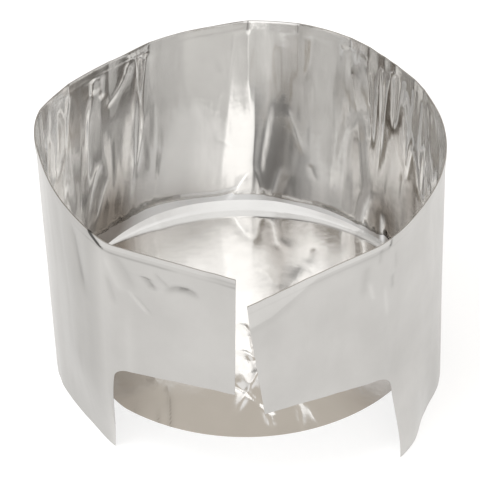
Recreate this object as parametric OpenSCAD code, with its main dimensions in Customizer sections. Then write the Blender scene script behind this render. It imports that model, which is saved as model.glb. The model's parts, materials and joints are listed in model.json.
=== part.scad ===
// Foil windscreen for a camping stove.
// A strip of aluminium foil is hemmed along its upper edge, creased into fold panels and stood up
// as a ring around the stove. Two flaps close most of the front above a notch for the fuel line.
// A foil reflector is pushed into the ring and keeps it round.
// The origin is on the ground, below the middle of the screen. The front faces -Y and +Z is up.

/* [Screen strip] */
// Height of the strip from the ground to the hemmed edge
screen_h = 160; // [120:1:220]
// Width of a fold panel from crease to crease
panel_w = 53; // [48:0.5:70]
// Thickness of the foil
sheet_t = 0.2; // [0.1:0.05:0.4]
// Depth of the hem folded over along the upper edge
hem_h = 5; // [3:0.5:10]
// Distance by which the hem stops short of a crease
hem_relief = 1.5; // [1.2:0.1:3]

/* [Creases] */
// Turn of the wall at each crease when the screen stands as a ring
wall_bend = 27.5; // [26:0.5:30]
// Turn at the crease of the left flap
left_flap_bend = 27; // [20:1:27]
// Turn at the soft fold across the left flap
left_flap_fold = 15; // [0:1:24]
// Turn at the crease of the right flap
right_flap_bend = 22; // [16:1:27]
// Radius of the rounded fold along a crease
crease_r = 0.4; // [0.3:0.05:0.8]
// Gap between the rounded fold and the edge of the panel that turns about it
crease_gap = 0.3; // [0.2:0.05:0.5]

/* [Front] */
// Gap left open between the upper corners of the two flaps
front_gap = 5; // [3:1:20]
// Slant of the right flap's free edge, which draws back towards the notch
edge_slant = 8; // [0:1:12]
// Height of the notch at the creases of the flaps
notch_h = 60; // [45:1:80]
// Slant of the notch's upper edge, which rises towards the gap
notch_slant = 11; // [0:1:14]
// Radius in the upper corners of the notch
notch_r = 10; // [4:1:16]

/* [Reflector] */
// Height of the middle of the reflector's upper face above the ground
reflector_z = 30; // [20:1:40]
// Tilt of the reflector, which sits higher at the front than at the back
reflector_tilt = 5; // [0:0.5:6]
// Height of the edge that is turned up at the back of the reflector
rim_h = 6; // [3:0.5:12]
// Angle on each side of the back over which the edge is turned up
rim_angle = 55; // [30:1:80]
// Gap between the reflector's edge and the wall that it is pushed into
reflector_gap = 0.3; // [0.2:0.05:0.6]

/* [Hidden] */
$fn = 96;
// Fold panels on each side of the back crease
side_panels = 5;

// Ring: the creases lie on a circle, the flat panels are its chords
ring_r = panel_w / (2 * sin(wall_bend / 2));
wall_distance = ring_r * cos(wall_bend / 2);
// Lean of the reflector's turned-up edge, less what the tilt draws its back away from the wall
rim_lean = max(0, rim_h * sin(reflector_tilt) - wall_distance * (1 - cos(reflector_tilt)));
reflector_r = wall_distance - sheet_t / 2 - reflector_gap - rim_lean;

// Edge of a panel that turns about a fold, measured from the fold's axis
free_start = crease_r + crease_gap;
// Reach of the doubled hem from the middle of the sheet towards the outside
hem_reach = 1.5 * sheet_t;

// Directions along the strip, on the left, from the back to the front
function panel_turn(k) = 180 + (k - 0.5) * wall_bend;
function flap_turn(bend) = panel_turn(side_panels) + bend;

// Flaps: each reaches to its side of the gap at the front, the left one over a fold at one panel's width
flap_reach = ring_r * sin(side_panels * wall_bend) - front_gap / 2;
left_turn = flap_turn(left_flap_bend);
left_end_turn = left_turn + left_flap_fold;
left_end_w = (flap_reach - panel_w * cos(left_turn)) / cos(left_end_turn);
left_flap_w = panel_w + left_end_w;
right_turn = flap_turn(right_flap_bend);
right_flap_w = flap_reach / cos(right_turn);

// Notch: its slanted upper edge, and where its rounded corner begins at the crease and ends on that edge
function notch_edge(x) = notch_h + (x - free_start) * tan(notch_slant);
flap_foot = notch_h + notch_r * (tan(notch_slant) - 1 / cos(notch_slant));
corner_end = [free_start + notch_r * (1 - sin(notch_slant)), flap_foot + notch_r * cos(notch_slant)];

// Shift along Y that puts the origin under the middle of the screen
flap_crease_y = ring_r * cos(side_panels * wall_bend);
left_end_y = panel_w * sin(left_turn) + left_end_w * sin(left_end_turn) - hem_reach * cos(left_end_turn);
right_end_y = right_flap_w * sin(right_turn) - hem_reach * cos(right_turn);
front_y = flap_crease_y + min(left_end_y, right_end_y);
back_y = ring_r + crease_r;
ring_y = -(front_y + back_y) / 2;

left_walls = [for (k = [1 : side_panels]) str("wall_panel_left_", k)];
right_walls = [for (k = [1 : side_panels]) str("wall_panel_right_", k)];

// Puts a piece at crease k of the left half, with +X along the strip and -Y outwards
module at_left_crease(k, turn)
    translate([-ring_r * sin(k * wall_bend), ring_y + ring_r * cos(k * wall_bend), 0])
        rotate(turn)
            children();

// Stands a side outline up as a sheet of foil
module standing_sheet()
    rotate([90, 0, 0])
        linear_extrude(sheet_t, center = true)
            children();

// Second layer of foil where the upper edge is folded over to the outside
module hem(from, to)
    translate([from, -hem_reach, screen_h - hem_h])
        cube([to - from, hem_reach, hem_h]);

// Rounded fold, standing on the crease line
module fold(x, bottom)
    translate([x, 0, bottom])
        cylinder(r = crease_r, h = screen_h - bottom);

// Flat panel between two creases, with the fold along its far edge
module wall_panel(start, far_fold_bottom) {
    standing_sheet()
        translate([start, 0])
            square([panel_w - start, screen_h]);
    hem(start + hem_relief, panel_w - hem_relief);
    fold(panel_w, far_fold_bottom);
}

// The fold towards a flap ends at the notch, the others reach the ground
function fold_bottom(k) = k == side_panels ? flap_foot : 0;

// The first left panel also carries the fold of the back crease
module wall_panel_left(k)
    color("gainsboro")
        at_left_crease(k - 1, panel_turn(k)) {
            wall_panel(k == 1 ? 0 : free_start, fold_bottom(k));
            if (k == 1) fold(0, 0);
        }

module wall_panel_right(k)
    color("gainsboro")
        mirror([1, 0, 0])
            at_left_crease(k - 1, panel_turn(k))
                wall_panel(free_start, fold_bottom(k));

// Side outline of a flap above the notch, with a rounded corner at its crease
module flap_outline(width, slant) {
    draw_back = tan(slant);
    low_w = (width - draw_back * (screen_h - notch_edge(0))) / (1 - draw_back * tan(notch_slant));
    difference() {
        polygon([
            [free_start, flap_foot],
            [free_start, screen_h],
            [width, screen_h],
            [low_w, notch_edge(low_w)],
            corner_end
        ]);
        translate([free_start + notch_r, flap_foot])
            circle(notch_r);
    }
}

// The left flap is folded softly towards the right one, at one panel's width from its crease
module left_flap()
    color("whitesmoke")
        at_left_crease(side_panels, left_turn) {
            standing_sheet()
                intersection() {
                    flap_outline(left_flap_w, 0);
                    square([panel_w, screen_h]);
                }
            hem(free_start + hem_relief, panel_w - hem_relief);
            fold(panel_w, notch_edge(panel_w));
            translate([panel_w, 0, 0])
                rotate(left_flap_fold)
                    left_flap_end();
        }

// End of the left flap beyond its fold
module left_flap_end() {
    standing_sheet()
        intersection() {
            translate([-panel_w, 0])
                flap_outline(left_flap_w, 0);
            square([left_end_w, screen_h]);
        }
    hem(hem_relief, left_end_w);
}

module right_flap()
    color("whitesmoke")
        mirror([1, 0, 0])
            at_left_crease(side_panels, right_turn) {
                standing_sheet()
                    flap_outline(right_flap_w, edge_slant);
                hem(free_start + hem_relief, right_flap_w);
            }

// Puts a piece of the reflector, drawn level on the origin, into the ring
module in_ring()
    translate([0, ring_y, reflector_z])
        rotate([-reflector_tilt, 0, 0])
            children();

module reflector_plate()
    color("lightgrey")
        in_ring()
            translate([0, 0, -sheet_t])
                cylinder(r = reflector_r, h = sheet_t);

// Edge of the reflector that is turned up against the back of the wall
module reflector_rim()
    color("lightgrey")
        in_ring()
            rotate(90 - rim_angle)
                rotate_extrude(angle = 2 * rim_angle)
                    translate([reflector_r - sheet_t, 0])
                        square([sheet_t, rim_h]);

for (k = [1 : side_panels]) {
    wall_panel_left(k);
    wall_panel_right(k);
}
left_flap();
right_flap();
reflector_plate();
reflector_rim();
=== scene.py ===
# %% [markdown]
# # A foil windscreen for a camping stove
# The real object is a strip of aluminium foil that is hemmed along its upper edge, rolled into a ring and
# closed at the front by two flaps. A loose disc of foil lies inside and throws the heat up. In this
# lesson the foil is made panel by panel, because each panel turns about its crease, and it gets its looks
# from the buckles and folds in the metal and from the room that it mirrors.

# %% Load the model that the pieces ride on
import json
from math import radians, sin, cos, pi, atan2, hypot

import bpy
import numpy as np
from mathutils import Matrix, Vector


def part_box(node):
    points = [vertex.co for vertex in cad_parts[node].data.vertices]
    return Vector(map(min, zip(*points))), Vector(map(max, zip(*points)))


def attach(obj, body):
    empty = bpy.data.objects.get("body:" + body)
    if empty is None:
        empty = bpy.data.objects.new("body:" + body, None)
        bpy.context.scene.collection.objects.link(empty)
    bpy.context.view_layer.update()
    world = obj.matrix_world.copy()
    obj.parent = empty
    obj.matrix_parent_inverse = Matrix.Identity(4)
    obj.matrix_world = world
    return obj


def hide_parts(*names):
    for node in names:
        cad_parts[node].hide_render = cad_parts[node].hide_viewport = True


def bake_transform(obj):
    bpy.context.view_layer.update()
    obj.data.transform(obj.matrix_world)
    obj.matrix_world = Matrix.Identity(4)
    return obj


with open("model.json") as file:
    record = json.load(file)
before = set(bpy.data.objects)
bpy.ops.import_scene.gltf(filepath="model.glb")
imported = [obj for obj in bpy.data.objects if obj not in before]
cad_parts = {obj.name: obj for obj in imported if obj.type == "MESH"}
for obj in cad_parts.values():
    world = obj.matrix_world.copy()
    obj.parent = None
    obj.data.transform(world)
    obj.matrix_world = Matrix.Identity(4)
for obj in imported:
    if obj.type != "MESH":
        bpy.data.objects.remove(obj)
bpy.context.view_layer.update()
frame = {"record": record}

# %% [markdown]
# ## Where the creases are
# Every crease of the screen is a hinge line of the model. Foil may only turn there without tearing, so
# the lines are taken from the model's joints and not measured again. The ring's radius and middle follow
# from two of them.

# %% Read the hinge lines
SIDE_PANELS = 5
hinge_line = {j["name"]: j["pos_m"] for j in frame["record"]["behaviour"]["joints"] if j["type"] == "hinge"}
screen_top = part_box("wall_panel_left_1")[1][2]
left_crease = [hinge_line["back_crease"]] + [hinge_line[f"left_crease_{k}"] for k in range(1, SIDE_PANELS)]
left_crease.append(hinge_line["left_flap_crease"])
right_crease = [hinge_line["back_crease"]] + [hinge_line[f"right_crease_{k}"] for k in range(1, SIDE_PANELS)]
right_crease.append(hinge_line["right_flap_crease"])
panel_width = hypot(left_crease[1][0], left_crease[1][1] - left_crease[0][1])
half_bend = atan2(left_crease[0][1] - left_crease[1][1], -left_crease[1][0])
ring_radius = panel_width / (2 * sin(half_bend))
ring_y = left_crease[0][1] - ring_radius
print(f"ring radius {ring_radius * 1000:.1f} mm, panel {panel_width * 1000:.1f} mm")
print(f"height {screen_top * 1000:.0f} mm")

# %% [markdown]
# ## The camera
# The photograph was taken from the front, looking down at about 41 degrees with a long lens. The place
# and the lens were found by laying the creases' upper and lower ends over the picture until they fitted.

# %% Set up the camera
CAMERA_TILT = radians(41.3)
CAMERA_AWAY = 1.276
CAMERA_LENS = 168.5
CAMERA_SHIFT_X = -0.011
CAMERA_SHIFT_Y = 0.021
bpy.ops.object.select_all(action="DESELECT")
bpy.ops.object.camera_add(
    location=(0, ring_y - CAMERA_AWAY * cos(CAMERA_TILT), screen_top / 2 + CAMERA_AWAY * sin(CAMERA_TILT)),
    rotation=(pi / 2 - CAMERA_TILT, 0, 0))
camera = bpy.context.object
camera.data.lens = CAMERA_LENS
camera.data.shift_x = CAMERA_SHIFT_X
camera.data.shift_y = CAMERA_SHIFT_Y
bpy.context.scene.camera = camera
bpy.context.scene.view_settings.view_transform = "Standard"
print("camera at", [round(v, 3) for v in camera.location])

# %% [markdown]
# ## The studio
# Bright foil shows little of its own and much of the room, so the room is part of the look. Low down the
# room is white, as a light tent is. Above that stand panels of pale and grey cloth, which the buckles in
# the foil draw out into long streaks, and the roof is a white lamp cloth.

# %% Build the world: three tiers of pale and grey panels
world = bpy.data.worlds.new("light_tent")
bpy.context.scene.world = world
world.use_nodes = True
tent = world.node_tree
tent.nodes.clear()
look = tent.nodes.new("ShaderNodeTexCoord")
around = tent.nodes.new("ShaderNodeTexGradient")
around.gradient_type = "RADIAL"
tent.links.new(look.outputs["Generated"], around.inputs["Vector"])
HIGH_PANELS = (
    (-168, 0.53), (-156, 0.85), (-120, 0.85), (-84, 0.80), (-70, 0.75), (-56, 0.85), (-44, 0.75),
    (-34, 0.48), (-24, 0.32), (-16, 0.34), (-9, 0.75), (-4, 1.25), (6, 1.45), (17, 1.45), (27, 1.00),
    (40, 0.80), (56, 0.78), (70, 0.72), (84, 0.80), (120, 0.85), (156, 0.85), (168, 0.53), (180, 0.53),
)
MIDDLE_PANELS = (
    (-168, 0.53), (-150, 0.65), (-110, 0.55), (-78, 0.70), (-66, 0.30), (-56, 0.74), (-46, 0.26),
    (-36, 0.70), (-27, 0.24), (-18, 0.66), (-9, 0.26), (0, 0.82), (9, 0.42), (18, 0.82), (28, 0.28),
    (38, 0.70), (48, 0.26), (58, 0.72), (68, 0.34), (80, 0.68), (110, 0.55), (150, 0.65), (168, 0.53),
    (180, 0.53),
)
LOW_PANELS = (
    (-168, 0.50), (-150, 0.90), (-138, 1.10), (-100, 1.20), (-64, 1.30), (-50, 1.55), (-28, 1.65),
    (-14, 1.45), (-4, 1.55), (14, 1.55), (26, 1.35), (44, 1.05), (60, 0.54), (95, 0.50), (150, 0.50),
    (180, 0.50),
)
PANEL_TINT = (1, 0.98, 0.955)
WARM_TINT = (1, 0.91, 0.80)
BEHIND = 168
LOW_WARM_FROM = 60


def tier_of_panels(panels, warm_from=BEHIND):
    """Panels of cloth all round, each at its turn to the right of the camera, in degrees, with its grey."""
    tier = tent.nodes.new("ShaderNodeValToRGB")
    tier.color_ramp.interpolation = "EASE"
    for turn, grey in panels:
        stop = tier.color_ramp.elements.new((turn / 360 + 0.25) % 1)
        tint = WARM_TINT if turn >= warm_from or turn <= -BEHIND else PANEL_TINT
        stop.color = (*(grey * part for part in tint), 1)
    tier.color_ramp.elements.remove(tier.color_ramp.elements[-1])
    tier.color_ramp.elements.remove(tier.color_ramp.elements[0])
    tent.links.new(around.outputs["Fac"], tier.inputs["Fac"])
    return tier.outputs["Color"]


high_tier = tier_of_panels(HIGH_PANELS)
middle_tier = tier_of_panels(MIDDLE_PANELS)
low_tier = tier_of_panels(LOW_PANELS, warm_from=LOW_WARM_FROM)
print("panels in the tiers:", len(HIGH_PANELS), len(MIDDLE_PANELS), len(LOW_PANELS))

# %% Close the tent with a white foot and a white roof, each between two heights of the direction
MIDDLE_RISE = (0.69, 0.63)
LOW_RISE = (0.625, 0.55)
ROOF_RISE = (0.84, 0.94)
FOOT_RISE = (0.36, 0.10)
ROOF_CLOTH = (0.95, 0.94, 0.925)
FOOT_CLOTH = (1, 1, 1)
split = tent.nodes.new("ShaderNodeSeparateXYZ")
tent.links.new(look.outputs["Generated"], split.inputs[0])


def tent_zone(rest, cover, start, end):
    """Lays a cover over the rest of the tent, which sets in at one height and is full at the other."""
    rise = tent.nodes.new("ShaderNodeMapRange")
    rise.interpolation_type = "SMOOTHSTEP"
    rise.inputs["From Min"].default_value = start
    rise.inputs["From Max"].default_value = end
    tent.links.new(split.outputs["Z"], rise.inputs["Value"])
    blend = tent.nodes.new("ShaderNodeMix")
    blend.data_type = "RGBA"
    tent.links.new(rise.outputs["Result"], blend.inputs["Factor"])
    tent.links.new(rest, blend.inputs["A"])
    if isinstance(cover, tuple):
        blend.inputs["B"].default_value = (*cover, 1)
    else:
        tent.links.new(cover, blend.inputs["B"])
    return blend.outputs["Result"]


upper_tiers = tent_zone(high_tier, middle_tier, *MIDDLE_RISE)
all_tiers = tent_zone(upper_tiers, low_tier, *LOW_RISE)
with_roof = tent_zone(all_tiers, ROOF_CLOTH, *ROOF_RISE)
with_foot = tent_zone(with_roof, FOOT_CLOTH, *FOOT_RISE)
backing = tent.nodes.new("ShaderNodeBackground")
tent.links.new(with_foot, backing.inputs["Color"])
tent_out = tent.nodes.new("ShaderNodeOutputWorld")
tent.links.new(backing.outputs["Background"], tent_out.inputs["Surface"])
print("world:", world.name)

# %% [markdown]
# The floor is a plain white sheet. It scatters light like paper, so it keeps the screen's shadow, and for
# the camera and for mirror rays a little of its own light lifts it to the white of the photograph. Light
# goes to and fro between the walls and the reflector, so more mirror bounces are allowed than usual.

# %% Lay the floor
FLOOR_SIZE = 6
FLOOR_DROP = 0.0003
PAPER_GREY = 0.55
PAPER_GLOW = 0.62
MIRROR_BOUNCES = 10


def maths(tree, operation, *values, clamp=False):
    """A Math node whose inputs are fixed numbers or the outputs of other nodes."""
    node = tree.nodes.new("ShaderNodeMath")
    node.operation = operation
    node.use_clamp = clamp
    for socket, value in zip(node.inputs, values):
        if isinstance(value, (int, float)):
            socket.default_value = value
        else:
            tree.links.new(value, socket)
    return node.outputs[0]


bpy.ops.object.select_all(action="DESELECT")
bpy.ops.mesh.primitive_plane_add(size=FLOOR_SIZE, location=(0, 0, -FLOOR_DROP))
floor = bpy.context.object
floor.name = "floor"
paper = bpy.data.materials.new("white_paper")
paper.use_nodes = True
sheet = paper.node_tree
sheet.nodes.clear()
scatter = sheet.nodes.new("ShaderNodeBsdfDiffuse")
scatter.inputs["Color"].default_value = (PAPER_GREY, PAPER_GREY, PAPER_GREY, 1)
seen = sheet.nodes.new("ShaderNodeLightPath")
either = maths(sheet, "MAXIMUM", seen.outputs["Is Camera Ray"], seen.outputs["Is Glossy Ray"])
any_of = maths(sheet, "MAXIMUM", either, seen.outputs["Is Transmission Ray"])
own_light = sheet.nodes.new("ShaderNodeEmission")
sheet.links.new(maths(sheet, "MULTIPLY", any_of, PAPER_GLOW), own_light.inputs["Strength"])
together = sheet.nodes.new("ShaderNodeAddShader")
sheet.links.new(scatter.outputs[0], together.inputs[0])
sheet.links.new(own_light.outputs[0], together.inputs[1])
sheet_out = sheet.nodes.new("ShaderNodeOutputMaterial")
sheet.links.new(together.outputs[0], sheet_out.inputs["Surface"])
floor.data.materials.append(paper)
bpy.context.scene.cycles.glossy_bounces = MIRROR_BOUNCES
print("floor size in m:", tuple(round(v, 2) for v in floor.dimensions))

# %% [markdown]
# A large lamp above gives the floor its soft shadow. Mirror rays don't see it, because it would stand in
# the foil as a hot patch that the photograph doesn't have.

# %% Hang the lamp
LAMP_PLACE = (-0.9, -0.5, 1.9)
LAMP_TURN = (radians(-15), radians(-25), 0)
LAMP_SIZE = 1.2
LAMP_POWER = 14
bpy.ops.object.light_add(type="AREA", location=LAMP_PLACE)
lamp = bpy.context.object
lamp.data.shape = "DISK"
lamp.data.size = LAMP_SIZE
lamp.data.energy = LAMP_POWER
lamp.rotation_euler = LAMP_TURN
lamp.visible_glossy = False
print("lamp power in W:", lamp.data.energy)

# %% [markdown]
# ## Finishes
# Rolled foil is bright on one side and satin on the other. Both sides share the same faint marks: streaks
# from rolling and handling that run up the sheet, cloudy smudges where fingers have been, and fine
# crinkles. Each is a node group that puts out a mask, so that every finish can use it in its own strength.

# %% Node group: streaks that run up the foil
STREAK_DETAIL = 3


def new_group(name, inputs, outputs):
    group = bpy.data.node_groups.new(name, "ShaderNodeTree")
    for label, kind, value in inputs:
        socket = group.interface.new_socket(name=label, in_out="INPUT", socket_type=kind)
        socket.default_value = value
    for label, kind in outputs:
        group.interface.new_socket(name=label, in_out="OUTPUT", socket_type=kind)
    return group, group.nodes.new("NodeGroupInput"), group.nodes.new("NodeGroupOutput")


streaks, given, result = new_group(
    "foil_streaks", [("Scale", "NodeSocketFloat", 90.0), ("Stretch", "NodeSocketFloat", 0.08)],
    [("Streak", "NodeSocketFloat")])
place = streaks.nodes.new("ShaderNodeTexCoord")
along = streaks.nodes.new("ShaderNodeCombineXYZ")
along.inputs["X"].default_value = 1
along.inputs["Y"].default_value = 1
streaks.links.new(given.outputs["Stretch"], along.inputs["Z"])
squeezed = streaks.nodes.new("ShaderNodeVectorMath")
squeezed.operation = "MULTIPLY"
streaks.links.new(place.outputs["Object"], squeezed.inputs[0])
streaks.links.new(along.outputs[0], squeezed.inputs[1])
grain = streaks.nodes.new("ShaderNodeTexNoise")
grain.inputs["Detail"].default_value = STREAK_DETAIL
streaks.links.new(squeezed.outputs[0], grain.inputs["Vector"])
streaks.links.new(given.outputs["Scale"], grain.inputs["Scale"])
streaks.links.new(grain.outputs["Fac"], result.inputs["Streak"])
print("group:", streaks.name)

# %% Node group: cloudy smudges
CLOUD_DETAIL = 4
CLOUD_ROUGHNESS = 0.55
CLOUD_FROM = 0.33
CLOUD_TO = 0.67
smudges, given, result = new_group(
    "foil_smudges", [("Scale", "NodeSocketFloat", 22.0), ("Strength", "NodeSocketFloat", 0.5)],
    [("Smudge", "NodeSocketFloat")])
place = smudges.nodes.new("ShaderNodeTexCoord")
cloud = smudges.nodes.new("ShaderNodeTexNoise")
cloud.inputs["Detail"].default_value = CLOUD_DETAIL
cloud.inputs["Roughness"].default_value = CLOUD_ROUGHNESS
smudges.links.new(place.outputs["Object"], cloud.inputs["Vector"])
smudges.links.new(given.outputs["Scale"], cloud.inputs["Scale"])
clear = smudges.nodes.new("ShaderNodeMapRange")
clear.inputs["From Min"].default_value = CLOUD_FROM
clear.inputs["From Max"].default_value = CLOUD_TO
smudges.links.new(cloud.outputs["Fac"], clear.inputs["Value"])
soft = maths(smudges, "MULTIPLY", clear.outputs["Result"], given.outputs["Strength"])
smudges.links.new(soft, result.inputs["Smudge"])
print("group:", smudges.name)

# %% Node group: fine crinkles
CRINKLE_DETAIL = 2
crinkles, given, result = new_group(
    "foil_crinkles", [("Scale", "NodeSocketFloat", 190.0), ("Share", "NodeSocketFloat", 0.5)],
    [("Height", "NodeSocketFloat")])
place = crinkles.nodes.new("ShaderNodeTexCoord")
ruffle = crinkles.nodes.new("ShaderNodeTexNoise")
ruffle.inputs["Detail"].default_value = CRINKLE_DETAIL
crinkles.links.new(place.outputs["Object"], ruffle.inputs["Vector"])
crinkles.links.new(given.outputs["Scale"], ruffle.inputs["Scale"])
weaker = maths(crinkles, "MULTIPLY", ruffle.outputs["Fac"], given.outputs["Share"])
crinkles.links.new(weaker, result.inputs["Height"])
print("group:", crinkles.name)

# %% [markdown]
# Every point of the wall also carries three numbers, which are set where the pieces are shaped: the painted
# light of the bright side, from -1 for painted shade in a valley to 1 for a painted highlight on a ridge,
# the painted light of the satin side in the same way, and the dark patch, where the foil is made darker and
# browner. A few plain lighter and darker tones ride in the painted light too. One group for each side reads
# them. Where the painted light falls below -1 the group puts out a painted shade, as if the foil were folded
# so deep that hardly any light gets in. The reflector is seen from its bright side only, so it carries no
# painted light for the satin side.

# %% Node groups: marks of the two sides
BASE_TONE_MIX = 0.7
TONE_MIX_SPAN = 0.4


def marks_group(name, side_mark):
    group, given, result = new_group(
        name, [("Ground", "NodeSocketFloat", BASE_TONE_MIX)],
        [("Tone Mix", "NodeSocketFloat"), ("Dark Patch", "NodeSocketFloat"), ("Shade", "NodeSocketFloat")])
    shine_mark = group.nodes.new("ShaderNodeAttribute")
    shine_mark.attribute_name = side_mark
    shine = shine_mark.outputs["Fac"]
    # the painted light sets the mix between the dull and the pale tone
    tone_mix = maths(group, "MULTIPLY_ADD", shine, TONE_MIX_SPAN, given.outputs["Ground"], clamp=True)
    group.links.new(tone_mix, result.inputs["Tone Mix"])
    # below -1 the painted light becomes painted shade
    group.links.new(maths(group, "MULTIPLY_ADD", shine, -1, -1, clamp=True), result.inputs["Shade"])
    stain_mark = group.nodes.new("ShaderNodeAttribute")
    stain_mark.attribute_name = "stain"
    group.links.new(stain_mark.outputs["Fac"], result.inputs["Dark Patch"])
    return group


bright_marks = marks_group("bright_side_marks", "shine")
satin_marks = marks_group("satin_side_marks", "scuff")
print("groups:", bright_marks.name, satin_marks.name)

# %% [markdown]
# All foil is metal. The painted light chooses between a dull and a pale tone, the smudges dull it, the dark
# patches darken it, and the painted shade of the deep folds turns it near black. The streaks make the gloss
# uneven, and together with the crinkles they give the relief. The grain of the rolled metal draws the
# highlights out.

# %% Foil finishes
# near black painted shade for the deepest folds
PAINTED_FOLD_SHADE = (0.04, 0.038, 0.034)
STREAK_FROM = 0.3
STREAK_TO = 0.7
QUARTER_TURN = 0.25
RELIEF_DEPTH = 0.0006


def mix_colour(tree, factor, first, second):
    blend = tree.nodes.new("ShaderNodeMix")
    blend.data_type = "RGBA"
    tree.links.new(factor, blend.inputs["Factor"])
    for socket, colour in (("A", first), ("B", second)):
        if isinstance(colour, tuple):
            blend.inputs[socket].default_value = (*colour, 1)
        else:
            tree.links.new(colour, blend.inputs[socket])
    return blend.outputs["Result"]


def placed(tree, group, **values):
    node = tree.nodes.new("ShaderNodeGroup")
    node.node_tree = group
    for label, value in values.items():
        node.inputs[label].default_value = value
    return node


def foil_finish(name, marks, dull, pale, stained, smooth, rough, streak_scale, bump, smudging, grain):
    finish = bpy.data.materials.new(name)
    finish.use_nodes = True
    tree = finish.node_tree
    metal = tree.nodes["Principled BSDF"]
    metal.inputs["Metallic"].default_value = 1
    streak = placed(tree, streaks, Scale=streak_scale)
    smudge = placed(tree, smudges, Strength=smudging)
    mark = placed(tree, marks)
    clean = mix_colour(tree, mark.outputs["Tone Mix"], dull, pale)
    smudged = mix_colour(tree, smudge.outputs["Smudge"], clean, dull)
    with_dark_patches = mix_colour(tree, mark.outputs["Dark Patch"], smudged, stained)
    tree.links.new(mix_colour(tree, mark.outputs["Shade"], with_dark_patches, PAINTED_FOLD_SHADE), metal.inputs["Base Color"])
    metal.inputs["Anisotropic"].default_value = grain
    metal.inputs["Anisotropic Rotation"].default_value = QUARTER_TURN
    rolled = tree.nodes.new("ShaderNodeTangent")
    rolled.direction_type = "UV_MAP"
    rolled.uv_map = "UVMap"
    tree.links.new(rolled.outputs["Tangent"], metal.inputs["Tangent"])
    haze = tree.nodes.new("ShaderNodeMapRange")
    haze.inputs["From Min"].default_value = STREAK_FROM
    haze.inputs["From Max"].default_value = STREAK_TO
    haze.inputs["To Min"].default_value = smooth
    haze.inputs["To Max"].default_value = rough
    tree.links.new(streak.outputs["Streak"], haze.inputs["Value"])
    tree.links.new(haze.outputs["Result"], metal.inputs["Roughness"])
    relief = tree.nodes.new("ShaderNodeBump")
    relief.inputs["Strength"].default_value = bump
    relief.inputs["Distance"].default_value = RELIEF_DEPTH
    crinkle = placed(tree, crinkles)
    uneven = maths(tree, "ADD", streak.outputs["Streak"], crinkle.outputs["Height"])
    tree.links.new(uneven, relief.inputs["Height"])
    tree.links.new(relief.outputs["Normal"], metal.inputs["Normal"])
    return finish


satin_outside = foil_finish(
    "screen_foil_satin", satin_marks, dull=(0.26, 0.253, 0.242), pale=(0.67, 0.66, 0.643),
    stained=(0.42, 0.40, 0.38), smooth=0.30, rough=0.38,
    streak_scale=60, bump=0.12, smudging=0.18, grain=0)
bright_inside = foil_finish(
    "screen_foil_bright", bright_marks, dull=(0.70, 0.695, 0.685), pale=(0.98, 0.978, 0.972),
    stained=(0.22, 0.195, 0.172), smooth=0.07, rough=0.12,
    streak_scale=110, bump=0.16, smudging=0.35, grain=0.7)
bright_disc = foil_finish(
    "reflector_foil_bright", bright_marks, dull=(0.72, 0.715, 0.705), pale=(0.98, 0.978, 0.972),
    stained=(0.30, 0.265, 0.235), smooth=0.09, rough=0.15,
    streak_scale=70, bump=0.16, smudging=0.35, grain=0.4)
print("finishes:", satin_outside.name, bright_inside.name, bright_disc.name)

# %% [markdown]
# ## Buckles and folds in the foil
# Thin foil that is bent round does not stay smooth. It buckles in long crests that run up the sheet, and
# where it was folded for the pocket it keeps sharp lines. Both are heights that are added to the smooth
# wall, as functions of the place along the strip (0 at the back, plus towards the left flap) and of the
# height, in millimetres. Functions are better here than a texture, because two pieces that meet agree
# about their common edge, and the folds are real.

# %% Buckles along the strip, each with its length, phase, sway, length of the sway, and depth
BUCKLE_WAVES = (
    (38.0, 0.6, 4.5, 170.0, 0.42),
    (26.0, 2.1, 3.6, 130.0, -0.34),
    (17.0, 4.4, 3.0, 95.0, -0.18),
    (10.6, 1.2, 2.2, 75.0, 0.065),
    (6.4, 5.3, 1.6, 56.0, 0.012),
)
CREST = 2.0
CREST_MEAN = 0.31
DRIFT_RUN = 61.0
DRIFT_STEP = 1.7
FADE_MEAN = 0.6
FADE_SWING = 0.4
FADE_WAVES = 5.3
FADE_RISE = 210.0
FADE_STEP = 3.1
BUCKLE_PLACE = (
    -356, -280, -250, -212, -160, -125, -105, -80, -60, -42, -12, 0, 12, 26, 52, 66, 100, 125, 160, 212,
    250, 280, 346,
)
BUCKLE_DEPTH = (
    0.30, 0.30, 0.20, 0.30, 0.45, 0.60, 0.75, 0.75, 0.45, 0.30, 0.50, 0.40, 0.20, 0.10, 0.20, 0.55, 0.55,
    0.45, 0.35, 0.30, 0.20, 0.30, 0.30,
)


def smooth_rise(value, start, end):
    t = np.clip((value - start) / (end - start), 0, 1)
    return t * t * (3 - 2 * t)


def buckle_height(along, up):
    """Outward height of the buckles in mm."""
    total = np.zeros_like(along)
    for length, phase, sway, sway_length, depth in BUCKLE_WAVES:
        drift = sway * np.sin(2 * pi * up / sway_length + phase * DRIFT_STEP + along / DRIFT_RUN)
        fade_turn = 2 * pi * (along / (length * FADE_WAVES) + up / FADE_RISE) + phase * FADE_STEP
        fade = FADE_MEAN + FADE_SWING * np.sin(fade_turn)
        crest = np.exp(CREST * (np.cos(2 * pi * (along + drift) / length + phase) - 1))
        total += 2 * depth * fade * (crest - CREST_MEAN)
    return total * np.interp(along, BUCKLE_PLACE, BUCKLE_DEPTH)


print("waves:", len(BUCKLE_WAVES))
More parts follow.
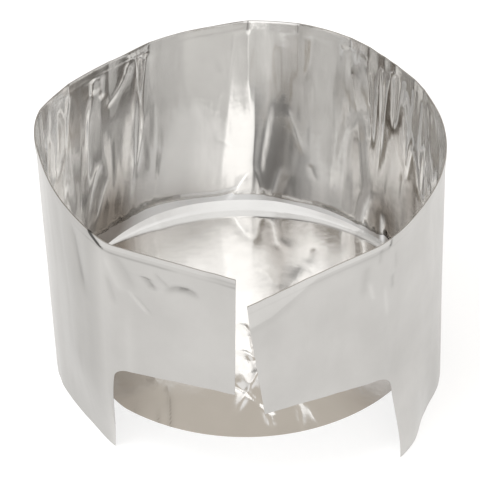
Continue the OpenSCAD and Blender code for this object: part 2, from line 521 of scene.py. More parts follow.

# %% [markdown]
# A fold is a line from one place to another, with a bow in it. Across the line the foil rises to a sharp
# ridge and falls off again, like a tent. The last number is painted light: a painted highlight along a
# ridge, painted shade along a valley, and below -1 a near black painted shade. At the creases of the hem
# there is a tick of painted shade, and the rim has a slight kink, which reaches some way down the wall.

# %% Fold lines: from (along, up) to (along, up), bow, lift, width, painted light
WALL_FOLDS = (
    (61, 168, 67, 84, 1, 0.55, 3.0, 0.6), (70, 160, 67, 84, 1, -0.55, 3.0, 0.5),
    (65, 174, 67, 86, 0, 0, 3.5, -1.4), (64, 112, 71, 60, 0, 0.60, 2.5, 1.0),
    (58, 140, 57, 60, 0, 0.25, 3.0, 0.5), (74, 132, 76, 36, -3, 0.45, 3.0, 0.7),
    # the second row below paints a small glint of light
    (77, 158, 98, 124, -6, 0.50, 3.0, 0.6), (98, 158, 97, 134, 0, 0.55, 3.0, 1.0),
    (102, 160, 104, 140, 0, 0.45, 3.5, 0.9), (104, 144, 107, 68, 2, 0.85, 3.0, 1.0),
    (119, 160, 134, 74, 0, 0.75, 3.5, 1.0), (133, 150, 140, 96, -2, 0.70, 3.0, 1.0),
    (142, 138, 150, 100, 0, 0.45, 2.5, 0.7), (97, 92, 110, 42, 2, 0.75, 2.5, 1.0),
    (93, 78, 104, 40, 0, -0.40, 2.5, 0.4), (91, 116, 88, 34, 0, 0.30, 4.0, -0.3),
    (114, 130, 117, 52, 0, -0.60, 7.0, -1.1), (112, 80, 110, 26, 0, 0, 8.0, -1.1),
    (153, 174, 153, 126, 0, 0, 3.0, -1.3), (55, 108, 60, 30, 0, -0.40, 3.0, -0.2),
    (84, 100, 82, 30, 0, 0, 5.0, -0.8), (18, 138, 14, 124, 0, 0.15, 2.0, -0.2),
    (13, 114, 20, 88, 0, 0.15, 2.0, 0.4), (20, 77, 7, 67, 0, 0.15, 2.0, 0.3),
    (5, 168, 17, 22, 0, 0.45, 5.0, 0.4), (-4, 50, 13, 20, 0, 0.60, 3.5, 0.8),
    (-1, 196, -5, 76, 2, 0.45, 3.0, -0.3), (-5, 118, -2, 10, -2, 0.45, 3.0, -0.3),
    (-17, 158, -11, 82, 0, 0.14, 3.0, 0.6), (-21, 156, -19, 90, -2, -0.50, 6.0, -0.9),
    (-38, 168, -34, 116, -3, 0.60, 3.0, 0.4), (-24, 102, -37, 62, 0, 0.60, 2.5, 0.5),
    (-40, 60, -45, 46, 0, -0.35, 2.0, -0.6), (-5, 54, -12, 22, 0, 0.50, 3.5, -0.9),
    (-22, 56, -15, 24, 0, 0.50, 3.5, 0.5), (-28, 50, -21, 22, 0, -0.45, 3.5, -0.9),
    (-62, 146, -70, 108, 0, 0.60, 3.0, 0.5), (-76, 146, -84, 88, 0, 1.00, 2.5, 0.9),
    (-72, 108, -80, 40, 0, -0.80, 6.0, -1.2), (-86, 162, -88, 72, -3, 0.80, 2.5, 1.0),
    (-100, 164, -100, 108, 0, 1.00, 2.5, 1.0), (-108, 140, -113, 80, 0, 0.80, 2.5, 1.0),
    (-118, 116, -113, 80, 0, 0.50, 2.0, 0.9), (-118, 112, -129, 78, 0, 0.80, 2.0, 1.0),
    (-132, 124, -129, 78, 0, 0.80, 2.0, 1.0), (-124, 166, -140, 84, 0, 0.60, 2.5, 0.7),
    (-130, 164, -146, 90, 0, -0.45, 2.5, -0.8), (-121, 164, -122, 104, 0, 0, 5.0, -1.1),
    (-113, 88, -112, 26, 0, 0, 8.0, -1.15), (-76, 58, -73, 18, 0, -0.60, 3.0, -1.0),
    (-84, 60, -77, 22, 0, 0.70, 3.5, 0.9), (-94, 48, -95, 18, 0, 0.60, 3.0, 0.9),
    (-90, 56, -90, 20, 0, -0.50, 2.5, -1.0),
)
SMALL_KINKS = (92, 122, 148)
HEM_CREASES = (61, -2, -31, -64, -77, -90, -99, -117, -127)
FLAP_FOLDS = (
    (290, 145, 297, 136, 0, -1.4, 3.2, -0.8), (301, 137, 324, 139, 4, -1.7, 3.2, -0.75),
    (309, 141, 317, 143, 0, -0.3, 2.0, -0.3), (296, 149, 306, 140, 0, -0.9, 2.4, -0.35),
    (271, 157, 285, 130, 2, -0.8, 4.5, -0.35), (267, 153, 279, 127, 0, 0.8, 3.5, 0.3),
    (281, 133, 294, 117, 0, 0.9, 2.0, 0.5), (284, 131, 296, 117, 0, -0.9, 2.0, -0.3),
    (268, 139, 274, 116, 0, -0.9, 2.6, -0.3), (324, 157, 364, 157, 0, -0.4, 2.2, -0.5),
    (281, 122, 281, 58, 0, 0.5, 5.0, 0.2), (236, 160, 250, 106, 0, -0.8, 5.0, -0.4),
    # the first row below paints the shadow under the open hem beside the left flap's crease
    (254, 161, 268, 154, 0, -1.0, 1.9, -2.8), (-262, 135, -261, 122, 0, -1.0, 2.2, -0.6),
    (-260, 151, -259, 133, 0, -0.6, 2.0, -0.3), (-271, 158, -272, 145, 0, -0.8, 2.0, -0.4),
    (-280, 152, -282, 126, 0, -0.6, 4.0, -0.35), (-279, 139, -275, 121, 0, 0.6, 2.0, 0.35),
    (-268, 130, -264, 103, 0, 0.5, 2.0, 0.35), (-264, 162, -266, 153, 0, -0.3, 1.0, -1.6),
)
HEM_LINE_PLACE = (-346, -300, -268, -240, -130, -30, -10, 60, 240, 266, 302, 312, 326, 343)
HEM_LINE_DEPTH = (0.3, 0.4, 0.6, 0.1, 0.5, 0.5, 0.1, 0.15, 0.1, 1.3, 1.2, 0.2, 0.3, 1.2)
HEM_LINE_BELOW = 0.9
HEM_LINE_WIDTH = 0.7
HEM_LINE_SHADE = 0.7
FOLD_ROUNDING = 0.5
FOLD_END = 0.3
GLEAM_SHARE = 0.7
HEM_DEPTH = 0.005


def fold_marks(across, up, folds):
    """Height of the folds in mm, and their painted light: highlight on a ridge, shade in a valley."""
    lift = np.zeros_like(across)
    shine = np.zeros_like(across)
    for from_across, from_up, to_across, to_up, bow, height, width, gleam in folds:
        first, last = (from_up, from_across), (to_up, to_across)
        run, aside = up, across
        if abs(to_across - from_across) > abs(to_up - from_up):
            first, last = first[::-1], last[::-1]
            run, aside = across, up
        t = (run - first[0]) / (last[0] - first[0])
        off_line = aside - (first[1] + (last[1] - first[1]) * t + bow * 4 * t * (1 - t))
        ends = smooth_rise(t, 0, FOLD_END) * smooth_rise(1 - t, 0, FOLD_END)
        lift += height * ends * np.exp(-np.sqrt(off_line ** 2 + FOLD_ROUNDING ** 2) / width)
        shine += gleam * ends * np.exp(-(off_line / (GLEAM_SHARE * width)) ** 2)
    return lift, shine


def painted_hem_shadow(along, up):
    """Painted shadow line where the hem ends, deeper in some places along the strip."""
    below_hem = (up - (screen_top - HEM_DEPTH) * 1000 + HEM_LINE_BELOW) / HEM_LINE_WIDTH
    depth = HEM_LINE_SHADE * np.interp(along, HEM_LINE_PLACE, HEM_LINE_DEPTH)
    return -depth * np.exp(-below_hem ** 2)


# ticks of painted shade at the creases of the hem
HEM_CREASE_SHADE = tuple((place, 174, place + 1, 148, 0, -0.25, 1.2, -1.4) for place in HEM_CREASES)
RIM_KINKS = tuple((place, 190, place, 112, 0, 0.55, 6.0, 0) for place in HEM_CREASES + SMALL_KINKS)
FOLDS = WALL_FOLDS + HEM_CREASE_SHADE + FLAP_FOLDS
print("fold lines:", len(FOLDS), "and kinks of the rim:", len(RIM_KINKS))

# %% [markdown]
# ## A flat piece of foil
# A piece of the strip starts as a grid that stands upright, with its outside towards -Y. The hem is what
# a maker would fold: the upper edge is extruded outwards by a hair, and then down. The columns beside the
# two cut edges are made very narrow, so that the shading runs on smoothly where the next piece begins.

# %% Stand up a flat piece and fold its hem
CELL = 0.0008
EDGE_CELL = 0.0001
HEM_STAND_OFF = 0.0002
HEM_ROWS = 6


def points_of(piece):
    flat = np.empty(len(piece.data.vertices) * 3)
    piece.data.vertices.foreach_get("co", flat)
    return flat.reshape(-1, 3)


def set_points(piece, points):
    piece.data.vertices.foreach_set("co", points.ravel())
    piece.data.update()


def flat_piece(name, width, height):
    columns = round(width / CELL)
    bpy.ops.object.select_all(action="DESELECT")
    bpy.ops.mesh.primitive_grid_add(
        x_subdivisions=columns, y_subdivisions=round(height / CELL), size=1, rotation=(pi / 2, 0, 0))
    piece = bpy.context.object
    piece.name = name
    piece.data.name = name
    bpy.ops.object.transform_apply(location=True, rotation=True, scale=True)
    bpy.ops.object.mode_set(mode="EDIT")
    bpy.ops.mesh.select_all(action="SELECT")
    bpy.ops.transform.translate(value=(0.5, 0, 0.5))
    bpy.ops.transform.resize(value=(width, 1, height), center_override=(0, 0, 0))
    bpy.ops.mesh.select_all(action="DESELECT")
    bpy.ops.object.mode_set(mode="OBJECT")
    for corner in piece.data.vertices:
        corner.select = corner.co.z > height - CELL / 4
    bpy.ops.object.mode_set(mode="EDIT")
    bpy.ops.mesh.select_mode(type="VERT")
    bpy.ops.mesh.extrude_region_move(TRANSFORM_OT_translate={"value": (0, -HEM_STAND_OFF, 0)})
    for _ in range(HEM_ROWS):
        bpy.ops.mesh.extrude_region_move(TRANSFORM_OT_translate={"value": (0, 0, -HEM_DEPTH / HEM_ROWS)})
    bpy.ops.object.mode_set(mode="OBJECT")
    flat = points_of(piece)
    column = np.rint(flat[:, 0] / width * columns)
    flat[column == 1, 0] = EDGE_CELL
    flat[column == columns - 1, 0] = width - EDGE_CELL
    set_points(piece, flat)
    return piece


print("cell of the grid in mm:", CELL * 1000)

# %% [markdown]
# A shaped piece gets its thickness last, with Solidify, so that both faces follow every buckle. The three
# material slots are outside, inside and outside again: the hem is folded over, and shows the outside on
# its other face. The marks of each point are kept as attributes, which the finish reads.

# %% Thicken a piece and give it its finishes
FOIL_THICKNESS = 0.00025
SHARP_EDGE = radians(50)


def mark_points(piece, **marks):
    for label, values in marks.items():
        attribute = piece.data.attributes.new(label, "FLOAT", "POINT")
        attribute.data.foreach_set("value", values.astype(np.float32))


def finish_piece(piece, sheet_faces):
    for finish in (satin_outside, bright_inside, satin_outside):
        piece.data.materials.append(finish)
    for face in piece.data.polygons:
        face.material_index = 1 if face.index >= sheet_faces else 0
    bpy.ops.object.select_all(action="DESELECT")
    bpy.context.view_layer.objects.active = piece
    piece.select_set(True)
    bpy.ops.object.modifier_add(type="SOLIDIFY")
    thicken = piece.modifiers[-1]
    thicken.thickness = FOIL_THICKNESS
    thicken.offset = -1
    thicken.material_offset = 1
    bpy.ops.object.modifier_apply(modifier=thicken.name)
    bpy.ops.object.shade_smooth_by_angle(angle=SHARP_EDGE)


print("foil thickness in mm:", FOIL_THICKNESS * 1000)

# %% [markdown]
# ## The wall
# The ring is not a true circle. The rim is squeezed flat behind on the left and bulges out further
# forward, and at the foot the legs lean in on the left and out on the right. Curves through a few
# given points say how far the rim and the foot are off the circle. Behind, the foot stays on it.

# %% The rim's and the foot's way round: degrees from the back, plus to the left, and mm outwards
RIM_TURN = (
    -138, -123, -87, -60, -50, -37, -25, -10, 0, 10, 20, 36, 43, 55, 65, 80, 88, 98, 121, 138,
)
RIM_SHIFT = (
    0, -2.3, -2.2, -2.6, -3, -0.8, 0.5, 0, -1.5, -4.5, -5.8, -7.4, -7.8, -4.5, -0.3, 4.8, 3.6, 0.5, -1.5,
    0,
)
FOOT_TURN = (-138, -133, -127, -118, -112, -103, -92, -80, -60, 96, 104, 109, 115, 122, 138)
FOOT_SHIFT = (11, 10.8, 9.5, 3.8, 3, 4.5, 3.5, 3, 0, 0, -1.5, -3.4, -5, -5.8, -5)


def curve_through(stops, values, at):
    """Smooth curve through given points."""
    stops, values = np.array(stops, float), np.array(values, float)
    slopes = np.gradient(values, stops)
    i = np.clip(np.searchsorted(stops, at) - 1, 0, len(stops) - 2)
    step = stops[i + 1] - stops[i]
    t = np.clip((at - stops[i]) / step, 0, 1)
    start = (1 + 2 * t) * (1 - t) ** 2 * values[i] + t * (1 - t) ** 2 * step * slopes[i]
    return start + t ** 2 * (3 - 2 * t) * values[i + 1] + t ** 2 * (t - 1) * step * slopes[i + 1]


print("rim off the circle by", min(RIM_SHIFT), "to", max(RIM_SHIFT), "mm")
print("foot off the circle by", min(FOOT_SHIFT), "to", max(FOOT_SHIFT), "mm")

# %% [markdown]
# The foil is made darker and browner in patches, most of all low down at the sides. A patch fades
# out softly all round, so it is a bell curve along the strip and up it.

# %% Darker patches: place along and up, half length, half height, strength
DARK_PATCHES = (
    (92, 34, 24, 36, 1.0), (-96, 38, 22, 32, 0.9), (-122, 76, 9, 26, 0.6), (-18, 40, 11, 30, 0.5),
    (34, 28, 36, 22, 0.4), (-45, 28, 26, 26, 0.35), (-30, 110, 9, 60, 0.3), (-22, 85, 7, 36, 0.3),
    (100, 85, 45, 70, 0.22), (-112, 85, 40, 70, 0.22),
)


def stain_of(along, up):
    """How much darker the foil is made there, from 0 to 1."""
    total = np.zeros_like(along)
    for at_along, at_up, half_length, half_height, strength in DARK_PATCHES:
        aside = (along - at_along) / half_length
        above = (up - at_up) / half_height
        total += strength * np.exp(-aside ** 2 - above ** 2)
    return np.clip(total, 0, 1)


print("stains:", len(DARK_PATCHES))

# %% [markdown]
# Below the flaps the wall ends in two legs. The left leg's edge is drawn back a little towards the ground,
# and the right one begins with a round corner, of which a part lies on the flap.

# %% Legs beside the notch
LEG_TOP = 0.062
LEFT_DRAW_BACK = 0.0025
STRIP_FOOT = 0.0203
RIGHT_NOTCH = 0.0592
RIGHT_CORNER = 0.011
CORNER_ON_FLAP = 0.005
flap_at = SIDE_PANELS * panel_width


def leg_edge(along, up):
    """How far the front edge of a leg is drawn back from the crease."""
    left_edge = np.interp(up, (0, STRIP_FOOT), (LEFT_DRAW_BACK, 0))
    into_corner = np.clip(RIGHT_NOTCH - up, 0, RIGHT_CORNER)
    corner = np.sqrt(RIGHT_CORNER ** 2 - (RIGHT_CORNER - into_corner) ** 2)
    return np.where(along > 0, left_edge, np.clip(corner - CORNER_ON_FLAP, 0, None))


def leg_lean(turn, up):
    """How far the legs stand off the circle towards the ground, in mm."""
    return curve_through(FOOT_TURN, FOOT_SHIFT, np.degrees(turn)) * smooth_rise(LEG_TOP - up, 0, LEG_TOP)


print("legs up to", LEG_TOP * 1000, "mm")

# %% [markdown]
# Each piece of the wall reaches from the middle of one panel to the middle of the next, so it spans a
# crease, and the joins lie where nothing bends. Between creases the wall is a little flatter than the
# circle. Near the flaps the buckles die away, because the foil has to stay on the hinge line there. In the
# hem they are weak, because it is stiff.

# %% Bend foil to the wall
FLAT_FOOT = 0.20
FLAT_LESS = 0.15
LEG_FROM = radians(108)
LEG_FULL = radians(124)
LEG_FOOT_LIGHTER = 0.5
DRAW_WIDTH = 0.018
HOLD_WIDTH = 0.008
STIFF_HEM = 0.8
HEM_PRINT = 0.00003
HEM_PRINT_RUN = 0.037
HEM_STEP_FROM = screen_top - HEM_DEPTH - 0.0008
HEM_STEP_FULL = screen_top - HEM_DEPTH + 0.0004
SATIN_LIGHT_SHARE = 0.25
SATIN_LIGHT_FROM = 0.035
SATIN_LIGHT_FULL = 0.020
LEFT_SHADE = 0.75
LEFT_SHADE_FROM = 0.180
LEFT_SHADE_FULL = 0.230
SHADE_PAST_CREASE = 0.004
SHADE_BEFORE_CREASE = 0.012


def bend_to_wall(piece, right_end):
    flat = points_of(piece)
    along = right_end + flat[:, 0]
    up = flat[:, 2]
    pull = leg_edge(along, up) * smooth_rise(np.abs(along), flap_at - DRAW_WIDTH, flap_at)
    along = along - np.sign(along) * pull
    height = up / screen_top
    turn = along / panel_width * 2 * half_bend
    flatness = (0.5 - 0.5 * np.cos(2 * pi * along / panel_width)) * (FLAT_FOOT - FLAT_LESS * height)
    radius = ring_radius * (1 - (1 - cos(half_bend)) * flatness)
    radius += curve_through(RIM_TURN, RIM_SHIFT, np.degrees(turn)) * height / 1000
    near_flap = smooth_rise(np.abs(turn), LEG_FROM, LEG_FULL)
    foot_shift = curve_through(FOOT_TURN, FOOT_SHIFT, np.degrees(turn)) * (1 - height)
    radius += (foot_shift * (1 - near_flap) + leg_lean(turn, up) * near_flap) / 1000
    lift, shine = fold_marks(along * 1000, up * 1000, FOLDS)
    # painted shadow line under the hem's edge
    shine += painted_hem_shadow(along * 1000, up * 1000) * (flat[:, 1] > -HEM_STAND_OFF / 2)
    near_crease = smooth_rise(np.abs(along), flap_at - SATIN_LIGHT_FROM, flap_at - SATIN_LIGHT_FULL)
    # the satin side of the wall gets only a share of the painted light, all of it near the flaps
    scuff = shine * (SATIN_LIGHT_SHARE + (1 - SATIN_LIGHT_SHARE) * near_crease)
    # the satin side of the legs is made lighter towards the foot
    scuff += LEG_FOOT_LIGHTER * near_flap * smooth_rise(LEG_TOP - up, 0, LEG_TOP)
    # painted shade on the satin side of the left wall, before the left flap's crease
    left_shade = smooth_rise(along, LEFT_SHADE_FROM, LEFT_SHADE_FULL)
    scuff -= LEFT_SHADE * left_shade * smooth_rise(flap_at - along, -SHADE_PAST_CREASE, SHADE_BEFORE_CREASE)
    hold = smooth_rise(flap_at - np.abs(along), 0, HOLD_WIDTH)
    hold *= 1 - STIFF_HEM * smooth_rise(up, screen_top - 2 * HEM_DEPTH, screen_top - HEM_DEPTH)
    radius += hold * (lift + buckle_height(along * 1000, up * 1000)) / 1000
    radius += fold_marks(along * 1000, up * 1000, RIM_KINKS)[0] / 1000
    hem_print = HEM_PRINT * (1 + np.sin(along / HEM_PRINT_RUN))
    radius += hem_print * smooth_rise(up, HEM_STEP_FROM, HEM_STEP_FULL)
    radius -= flat[:, 1]
    set_points(piece, np.column_stack((-radius * np.sin(turn), ring_y + radius * np.cos(turn), up)))
    # the dark patches are left out where there is painted highlight
    highlit = np.clip(shine, 0, 1)
    stain = stain_of(along * 1000, up * 1000) * (1 - highlit)
    mark_points(piece, shine=shine, scuff=scuff, stain=stain)


def wall_piece(name, right_end, left_end):
    width = left_end - right_end
    piece = flat_piece(name, width, screen_top)
    bend_to_wall(piece, right_end)
    finish_piece(piece, round(width / CELL) * round(screen_top / CELL))
    return piece


flatter_by = ring_radius * (1 - cos(half_bend)) * FLAT_FOOT
print("wall flatter between creases by up to", round(flatter_by * 1000, 2), "mm")

# %% [markdown]
# A piece that spans a crease is shaped over the two panels beside it, and turns smoothly over a few
# millimetres between them. Its place is baked into its points, and it is not attached to either panel.
# The last half panel on each side, with its leg, is rigid.


def span_crease(piece, near_body, far_body, crease, turn):
    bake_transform(piece)


back = wall_piece("foil_back", -panel_width / 2, panel_width / 2)
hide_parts("wall_panel_left_1", "wall_panel_right_1")
span_crease(back, "wall_panel_right_1", "wall_panel_left_1", left_crease[0], 0)
for hand, side, creases in (("left", 1, left_crease), ("right", -1, right_crease)):
    for k in range(1, SIDE_PANELS):
        ends = sorted((side * (k - 0.5) * panel_width, side * (k + 0.5) * panel_width))
        piece = wall_piece(f"foil_{hand}_{k}", *ends)
        if k < SIDE_PANELS - 1:
            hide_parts(f"wall_panel_{hand}_{k + 1}")
        bodies = [f"wall_panel_{hand}_{k}", f"wall_panel_{hand}_{k + 1}"]
        span_crease(piece, *bodies[::side], creases[k], side * k * 2 * half_bend)
    leg = wall_piece(f"foil_{hand}_leg", *sorted((side * (SIDE_PANELS - 0.5) * panel_width, side * flap_at)))
    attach(leg, f"wall_panel_{hand}_{SIDE_PANELS}")
    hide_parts(f"wall_panel_{hand}_{SIDE_PANELS}")
print("pieces of the wall:", 1 + 2 * SIDE_PANELS)

# %% [markdown]
# ## The flaps
# The ends of the strip stand upright as flaps at the front, above the notch for the fuel line. A flap is
# the same kind of grid as a piece of the wall. Its lower edge is pulled up to the notch, with a rounded
# corner at the crease, and its free edge is slanted. It begins on the hinge line, where it still follows
# the wall, and turns from there. The right flap's upper corner is bent out along a line, with a painted
# highlight above the line and painted shade just below it. The left flap is made a little darker than the
# wall, and its hem a little lighter.

# %% Shape a flap
CORNER_PLACE = (312, 340, 358)
CORNER_FOLD = (156, 143, 141)
CORNER_BEND = 0.08
CORNER_GLEAM = 0.35
CORNER_GLEAM_WIDTH = 1.5
CORNER_SHADE = 0.2
CORNER_SHADE_BELOW = 1.5
CORNER_SHADE_WIDTH = 3
LEFT_FLAP_DARKER = 0.16
LEFT_HEM_LIGHTER = 0.3
FLAP_LIGHT_SHARE = 0.4
FLAP_STEPS = 400
SOFT_CREASE = 0.014
LEAST_STRIP = 1e-6
wall_end_turn = radians(44)


def notch_line(from_crease, at_crease, slope, rounding, on_flap, strip):
    """Height of a flap's lower edge away from the crease: a strip beside the leg, a corner, the notch."""
    from_corner = np.clip(from_crease - strip, 0, None)
    into_corner = np.clip(on_flap - from_corner, 0, on_flap)
    notch = at_crease + slope * from_crease - rounding + np.sqrt(rounding ** 2 - into_corner ** 2)
    beside_leg = np.interp(from_crease, (0, max(strip, LEAST_STRIP)), (STRIP_FOOT, at_crease - rounding))
    return np.where(from_crease < strip, beside_leg, notch)


def bend_flap(piece, side, turn, width, draw_back, at_crease, slope, rounding, on_flap, strip):
    flat = points_of(piece)
    from_crease = np.clip(flat[:, 0] if side > 0 else width - flat[:, 0], 0, width)
    level = flat[:, 2] / screen_top
    reach = from_crease / width * (width - draw_back * (1 - level))
    foot = notch_line(reach, at_crease, slope, rounding, on_flap, strip)
    up = foot + (screen_top - foot) * level
    along = side * (flap_at + reach) * 1000
    lift, shine = fold_marks(along, up * 1000, FOLDS)
    # painted shadow line under the hem's edge
    shine += painted_hem_shadow(along, up * 1000) * (flat[:, 1] > -HEM_STAND_OFF / 2)
    if side > 0:
        # the left flap is made darker, and its hem lighter
        shine -= LEFT_FLAP_DARKER - LEFT_HEM_LIGHTER * (flat[:, 1] < -HEM_STAND_OFF / 2)
    else:
        above = up * 1000 - np.interp(-along, CORNER_PLACE, CORNER_FOLD)
        lift += CORNER_BEND * np.clip(above, 0, None)
        # painted highlight above the corner's bend line, and painted shade just below it
        shine += CORNER_GLEAM * smooth_rise(above, 0, CORNER_GLEAM_WIDTH)
        shine -= CORNER_SHADE * np.exp(-((above + CORNER_SHADE_BELOW) / CORNER_SHADE_WIDTH) ** 2)
    wave = (lift + buckle_height(along, up * 1000)) * smooth_rise(reach, 0, HOLD_WIDTH)
    out = (wave + leg_lean(side * flap_at / panel_width * 2 * half_bend, up)) / 1000 - flat[:, 1]
    start = (left_crease if side > 0 else right_crease)[-1]
    steps = np.linspace(0, width, FLAP_STEPS)
    heading = wall_end_turn + (turn - wall_end_turn) * smooth_rise(steps, 0, SOFT_CREASE)
    across = np.concatenate(((0,), np.cumsum(np.cos(heading[1:])))) * steps[1]
    forward = np.concatenate(((0,), np.cumsum(np.sin(heading[1:])))) * steps[1]
    here = np.interp(reach, steps, heading)
    x = start[0] + side * (np.interp(reach, steps, across) - out * np.sin(here))
    y = start[1] - np.interp(reach, steps, forward) - out * np.cos(here)
    set_points(piece, np.column_stack((x, y, up)))
    # the bright side of a flap gets only a share of the painted light, the satin side all of it
    mark_points(piece, shine=FLAP_LIGHT_SHARE * shine, scuff=shine, stain=np.zeros_like(up))


print("soft crease of a flap in mm:", SOFT_CREASE * 1000)

# %% [markdown]
# The two flaps differ only in their numbers: turn, width, draw-back of the free edge at the foot, height
# of the notch at the crease, its slope, the radius of its corner, the part of the corner that is on the
# flap, and the strip beside the leg. Each lies along the wall on the hinge line and along its own turn a
# few millimetres further on. Its place is baked into its points, and it is not attached to a body.

# %% Place the flaps
FLAPS = (
    ("left", 1, radians(22.5), 0.0776, 0.0006, 0.0703, 0.099, 0.009, 0.009, 0.0049),
    ("right", -1, radians(33.1), 0.0907, 0.0122, RIGHT_NOTCH, 0.210, RIGHT_CORNER, CORNER_ON_FLAP, 0),
)
for hand, side, turn, width, *cut_out in FLAPS:
    flap = flat_piece(f"foil_{hand}_flap", width, screen_top)
    bend_flap(flap, side, turn, width, *cut_out)
    finish_piece(flap, round(width / CELL) * round(screen_top / CELL))
    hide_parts(f"{hand}_flap")
    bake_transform(flap)
print("flaps:", [f"{row[0]} {round(row[3] * 1000, 1)} mm wide" for row in FLAPS])

# %% [markdown]
# ## The reflector
# The reflector is a loose disc of foil, pushed into the ring until its edge grips the wall, a little
# lower at the back than at the front. A radius line is spun into a disc, which puts the rings of faces
# where the edge is turned up. The edge is turned up in two steps at the back, which catch the light from
# above as two bright bands.

# %% Spin the disc
SHEET_THICKNESS = 0.0002
DISC_RINGS = 108
DISC_STEPS = 440
WELD = 0.00001
plate_low, plate_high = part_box("reflector_plate")
disc_radius = (plate_high[0] - plate_low[0]) / 2
disc_tilt = atan2(plate_high[2] - plate_low[2] - SHEET_THICKNESS, plate_high[1] - plate_low[1])
disc_height = (plate_low[2] + plate_high[2]) / 2
bpy.ops.object.select_all(action="DESELECT")
bpy.ops.mesh.primitive_grid_add(x_subdivisions=DISC_RINGS, y_subdivisions=1, size=1)
disc = bpy.context.object
disc.name = "foil_reflector"
disc.data.name = "foil_reflector"
bpy.ops.object.mode_set(mode="EDIT")
bpy.ops.mesh.select_mode(type="VERT")
bpy.ops.mesh.select_all(action="DESELECT")
bpy.ops.object.mode_set(mode="OBJECT")
for corner in disc.data.vertices:
    corner.select = corner.co.y > 0
bpy.ops.object.mode_set(mode="EDIT")
bpy.ops.mesh.delete(type="VERT")
bpy.ops.mesh.select_all(action="SELECT")
bpy.ops.transform.translate(value=(0.5, 0.5, 0))
bpy.ops.transform.resize(value=(disc_radius, 1, 1), center_override=(0, 0, 0))
bpy.ops.mesh.spin(steps=DISC_STEPS, angle=2 * pi, center=(0, 0, 0), axis=(0, 0, 1))
bpy.ops.mesh.select_all(action="SELECT")
bpy.ops.mesh.remove_doubles(threshold=WELD)
bpy.ops.mesh.normals_make_consistent(inside=False)
bpy.ops.object.mode_set(mode="OBJECT")
print("disc radius in mm:", round(disc_radius * 1000, 1), "faces:", len(disc.data.polygons))

# %% [markdown]
# The crumples of the disc are made as the wall's folds are: soft waves and a few sharp lines, in
# millimetres to the right of the middle and behind it, with painted highlights and painted shade along the
# lines. The deepest cross each other at the front, under the gap between the flaps.

# %% Fold lines and soft waves of the disc
DISC_FOLDS = (
    (-6, 20, 8, -104, 3, 0.40, 3.5, 0.4), (14, -40, -8, -96, 0, 1.30, 3.0, 0.5),
    (-10, -60, 18, -92, 0, -1.20, 3.0, 0.4), (2, -70, 16, -106, 2, 1.10, 2.5, 0.5),
    (-43, -60, -41, -128, 1, 0.50, 2.4, -1.3), (-48, -80, -47, -128, 0, -0.40, 2.2, -1.25),
    (-62, -74, -58, -118, 0, 0, 5.0, -1.1), (29, -76, 32, -110, 0, 1.00, 2.0, 0.5),
    (34, -78, 44, -108, 0, -0.80, 2.5, 0.3), (10, 46, 20, 24, 0, 0.15, 5.0, 0.2),
    (-3, -8, 6, -24, 0, 0.5, 1.8, -1.1), (8, -14, 3, -36, 1, -0.5, 1.8, -1.0),
    (-3, -34, 8, -46, 0, 0.6, 1.8, 0.5), (1, -40, 4, -58, 1, -0.6, 1.8, -1.2),
    (7, -44, 9, -64, -1, 0.6, 1.8, -1.1), (-4, -52, 3, -70, 0, 0.6, 1.8, 0.6),
    (-30, 70, -24, -10, 3, 0.15, 5.0, 0.2), (26, 60, 20, 10, -2, 0.15, 5.0, 0.1),
    (-60, 40, -30, 52, 0, 0.15, 5.0, 0),
)
CROSS_WAVE = 0.06
CROSS_RUN = 9.0
CROSS_SWAY = 1.3
CROSS_SWAY_RUN = 23.0
CROSS_FADE_RUN = 31.0
CROSS_FADE_PHASE = 0.8
SLANT_WAVE = 0.04
SLANT_RUN = 11.0
SLANT_ASIDE = 0.6
SLANT_SWAY = 0.9
SLANT_SWAY_RUN = 17.0
FINE_WAVE = 0.02
FINE_RUN = 6.3
FINE_ASIDE = 0.7
FINE_PHASE = 2.0
LIVELY_PLACE = (-50, 5, 35)
LIVELY_SHARE = (1.8, 1.0, 0.45)


def disc_waves(right_of, behind):
    """Three trains of soft waves in mm: one across the disc, one slanting, and a fine one."""
    liveliness = np.interp(right_of, LIVELY_PLACE, LIVELY_SHARE)
    cross = np.sin(right_of / CROSS_RUN + CROSS_SWAY * np.sin(behind / CROSS_SWAY_RUN))
    cross *= np.sin(behind / CROSS_FADE_RUN + CROSS_FADE_PHASE)
    slant_sway = SLANT_SWAY * np.sin(right_of / SLANT_SWAY_RUN)
    slant = np.sin((right_of * SLANT_ASIDE + behind) / SLANT_RUN + slant_sway)
    fine = np.sin((right_of - FINE_ASIDE * behind) / FINE_RUN + FINE_PHASE)
    return liveliness * (CROSS_WAVE * cross + SLANT_WAVE * slant + FINE_WAVE * fine)


print("fold lines of the disc:", len(DISC_FOLDS))

# %% [markdown]
# A disc cut by hand isn't quite round. At the left front its edge is cut back, so that it can go down past
# the leg that leans in there. At the back the edge is turned up, over a share of its full width that
# changes with the bearing: 0 at the back, plus to the right, in degrees.

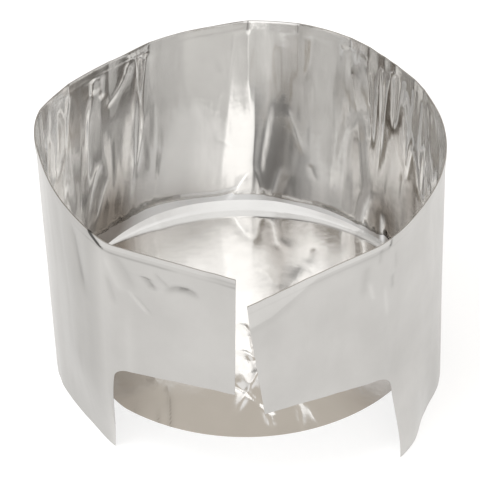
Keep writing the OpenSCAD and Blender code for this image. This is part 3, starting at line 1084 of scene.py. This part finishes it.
# %% Cut the edge and turn it up
CUT_BEARING = (-142, -134, -124, -112, -100, -90)
CUT_BACK = (0, 2.4, 2.8, 2.6, 1.6, 0)
EDGE_WIDTH = 0.0098
EDGE_STEPS = (0, 0.53, 1)
EDGE_RISE = (0, 0.0024, 0.0062)
EDGE_BEARING = (-62, -52, -41, -31, -20, 10, 25, 40, 65, 85)
EDGE_SHARE = (0, 0.15, 0.55, 0.9, 1, 1, 0.65, 0.45, 0.4, 0)
NO_EDGE = 0.001
flat = points_of(disc)
away = np.hypot(flat[:, 0], flat[:, 1])
bearing = np.arctan2(flat[:, 0], flat[:, 1])
cut_back = np.interp(np.degrees(bearing), CUT_BEARING, CUT_BACK) / 1000
flat[:, :2] *= (1 - cut_back / disc_radius)[:, None]
share = np.maximum(np.interp(np.degrees(bearing), EDGE_BEARING, EDGE_SHARE), NO_EDGE)
into_edge = 1 - (disc_radius - away) / (EDGE_WIDTH * share)
edge_rise = share * np.interp(into_edge, EDGE_STEPS, EDGE_RISE)
print("edge turned up by", max(EDGE_RISE) * 1000, "mm, cut back by", max(CUT_BACK), "mm")

# %% [markdown]
# The crumples fade out towards the edge. The disc has a slight belly at the front, and the tilt comes last,
# as one turn of all points about the middle.

# %% Crumple and tilt the disc
CALM_FROM = 0.010
CALM_FULL = -0.001
BELLY_PLACE = (-110, -84, -58, -25, 5, 60, 110)
BELLY_RISE = (-0.8, 0.8, 1.8, 1.0, 0, 0, 0)
right_of, behind = flat[:, 0] * 1000, flat[:, 1] * 1000
# the disc's fold lines also give its painted highlights and painted shade
crumple, disc_shine = fold_marks(right_of, behind, DISC_FOLDS)
crumple += disc_waves(right_of, behind)
from_edge = disc_radius - away - EDGE_WIDTH * share
crumple = crumple * smooth_rise(from_edge, CALM_FULL, CALM_FROM)
rise = edge_rise + (crumple + curve_through(BELLY_PLACE, BELLY_RISE, behind)) / 1000
tilted_y = flat[:, 1] * cos(disc_tilt) + rise * sin(disc_tilt)
tilted_z = -flat[:, 1] * sin(disc_tilt) + rise * cos(disc_tilt)
set_points(disc, np.column_stack((flat[:, 0], tilted_y + ring_y, tilted_z + disc_height)))
print("reflector tilt in degrees:", round(disc_tilt * 180 / pi, 2))

# %% [markdown]
# The disc is darker at the front on both sides. Its grain needs a flat map, which is laid from above, and
# the thickness goes to the lower side, so the upper face stays where it was shaped.

# %% Finish the disc
DISC_DARK_PATCH = 0.45
PATCH_ASIDE = 74
PATCH_BEHIND = -72
PATCH_HALF_WIDTH = 20
PATCH_HALF_DEPTH = 24
stain_aside = (np.abs(right_of) - PATCH_ASIDE) / PATCH_HALF_WIDTH
stain_behind = (behind - PATCH_BEHIND) / PATCH_HALF_DEPTH
disc_stain = DISC_DARK_PATCH * np.exp(-stain_aside ** 2 - stain_behind ** 2)
mark_points(disc, shine=disc_shine, stain=disc_stain)
disc.data.materials.append(bright_disc)
loop_point = np.empty(len(disc.data.loops), int)
disc.data.loops.foreach_get("vertex_index", loop_point)
flat_map = disc.data.uv_layers.active or disc.data.uv_layers.new(name="UVMap")
flat_map.uv.foreach_set("vector", (0.5 + flat[loop_point, :2] / (2 * disc_radius)).ravel())
bpy.ops.object.modifier_add(type="SOLIDIFY")
disc.modifiers[-1].thickness = FOIL_THICKNESS
disc.modifiers[-1].offset = -1
bpy.ops.object.modifier_apply(modifier=disc.modifiers[-1].name)
bpy.ops.object.shade_smooth_by_angle(angle=SHARP_EDGE)
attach(disc, "reflector")
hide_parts("reflector_plate", "reflector_rim")
print("reflector faces:", len(disc.data.polygons))
